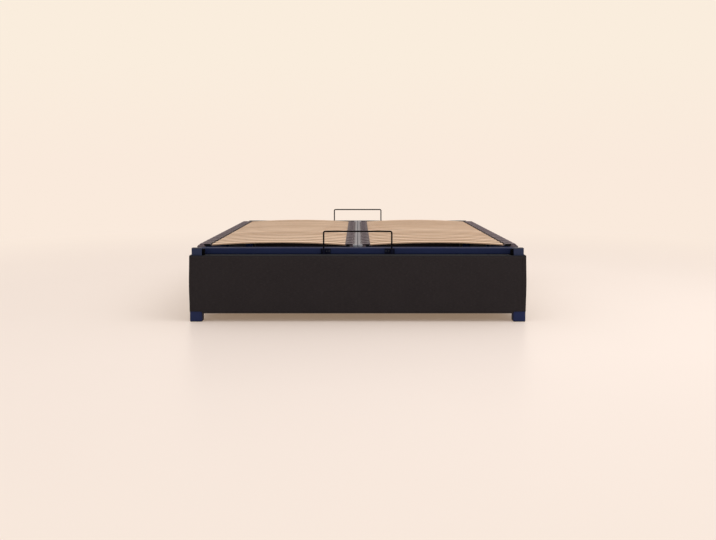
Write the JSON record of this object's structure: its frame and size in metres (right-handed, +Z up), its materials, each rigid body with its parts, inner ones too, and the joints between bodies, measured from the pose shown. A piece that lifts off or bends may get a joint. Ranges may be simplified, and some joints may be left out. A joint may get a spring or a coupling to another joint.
{
  "type": "lift-up storage bed base",
  "caption": "Storage bed base with fabric box sides and a hinged steel frame of sprung slats that lifts at the foot end on two gas struts.",
  "frame": {"origin": "floor level, in the middle of the base", "axes": "+X to the right seen from the foot end, +Y towards the head end, +Z up"},
  "size_m": [1.653, 2.128, 0.446],
  "materials": {
    "blue_steel": "fine powder coat, satin",
    "blue_plastic": "moulded, matt",
    "fabric": "woven, dark brown",
    "cap_plastic": "moulded, mauve grey",
    "strip_plastic": "moulded, light grey",
    "beech": "laminated, clear lacquer",
    "stop_wire": "brown-black powder coat",
    "zinc_steel": "zinc plated",
    "strut_black": "black, semi-gloss",
    "rubber": "matt",
    "board": "grey-beige hardboard"
  },
  "bodies": {
    "base": {"post_foot_left": "blue_steel", "post_foot_right": "blue_steel", "post_head_left": "blue_steel", "post_head_right": "blue_steel", "post_caps": "blue_plastic", "foot_foot_left": "blue_plastic", "foot_foot_right": "blue_plastic", "foot_head_left": "blue_plastic", "foot_head_right": "blue_plastic", "glides": "rubber", "lower_rail_left": "blue_steel", "lower_rail_right": "blue_steel", "lower_rail_foot": "blue_steel", "lower_rail_head": "blue_steel", "upper_rail_left": "blue_steel", "upper_rail_right": "blue_steel", "upper_rail_foot": "blue_steel", "upper_rail_head": "blue_steel", "mid_uprights": "blue_steel", "rail_bolts": "zinc_steel", "floor_beam": "blue_steel", "centre_legs": "blue_steel", "floor_panel_left": "board", "floor_panel_right": "board", "fabric_wall_left": "fabric", "fabric_wall_right": "fabric", "fabric_wall_foot": "fabric", "fabric_wall_head": "fabric", "rest_pads": "rubber", "hinge_ears": "blue_steel", "hinge_bolts": "zinc_steel", "hinge_washers": "rubber", "strut_base_brackets": "blue_steel", "bracket_bolts": "zinc_steel"},
    "slat_frame": {"hinge_plugs": "zinc_steel", "strut_frame_brackets": "blue_steel", "frame_side_left": "blue_steel", "frame_side_right": "blue_steel", "frame_foot_tube": "blue_steel", "frame_head_tube": "blue_steel", "frame_centre_tube": "blue_steel", "cross_bars": "blue_steel", "foot_tube_plugs": "rubber", "centre_strips": "strip_plastic", "side_caps_left": "cap_plastic", "side_caps_right": "cap_plastic", "centre_caps_left": "cap_plastic", "centre_caps_right": "cap_plastic", "slats_left": "beech", "slats_right": "beech", "mattress_stop_foot": "stop_wire", "mattress_stop_head": "stop_wire", "stop_brackets_foot": "blue_steel", "stop_brackets_head": "blue_steel"},
    "strut_cylinder_left": {"strut_cylinder_left": "strut_black"},
    "strut_cylinder_right": {"strut_cylinder_right": "strut_black"},
    "strut_rod_left": {"strut_rod_left": "zinc_steel"},
    "strut_rod_right": {"strut_rod_right": "zinc_steel"}
  },
  "joints": [
    {"name": "frame_lift", "type": "hinge", "parent": "base", "child": "slat_frame", "pos_m": [0, 0.99, 0.343], "axis": [-1, 0, 0], "range_deg": [0, 50]},
    {"name": "cylinder_left_pivot", "type": "hinge", "parent": "base", "child": "strut_cylinder_left", "pos_m": [-0.722, 0.82, 0.09132], "axis": [-1, 0, 0], "range_deg": [0, 25]},
    {"name": "rod_left_pivot", "type": "hinge", "parent": "slat_frame", "child": "strut_rod_left", "pos_m": [-0.722, 0.68628, 0.343], "axis": [-1, 0, 0], "range_deg": [-25, 0]},
    {"name": "cylinder_right_pivot", "type": "hinge", "parent": "base", "child": "strut_cylinder_right", "pos_m": [0.722, 0.82, 0.09132], "axis": [-1, 0, 0], "range_deg": [0, 25]},
    {"name": "rod_right_pivot", "type": "hinge", "parent": "slat_frame", "child": "strut_rod_right", "pos_m": [0.722, 0.68628, 0.343], "axis": [-1, 0, 0], "range_deg": [-25, 0]}
  ],
  "couplings": [
    {"joint": "cylinder_left_pivot", "follows": "frame_lift", "ratio": 0.5},
    {"joint": "rod_left_pivot", "follows": "frame_lift", "ratio": -0.5},
    {"joint": "cylinder_right_pivot", "follows": "frame_lift", "ratio": 0.5},
    {"joint": "rod_right_pivot", "follows": "frame_lift", "ratio": -0.5}
  ]
}
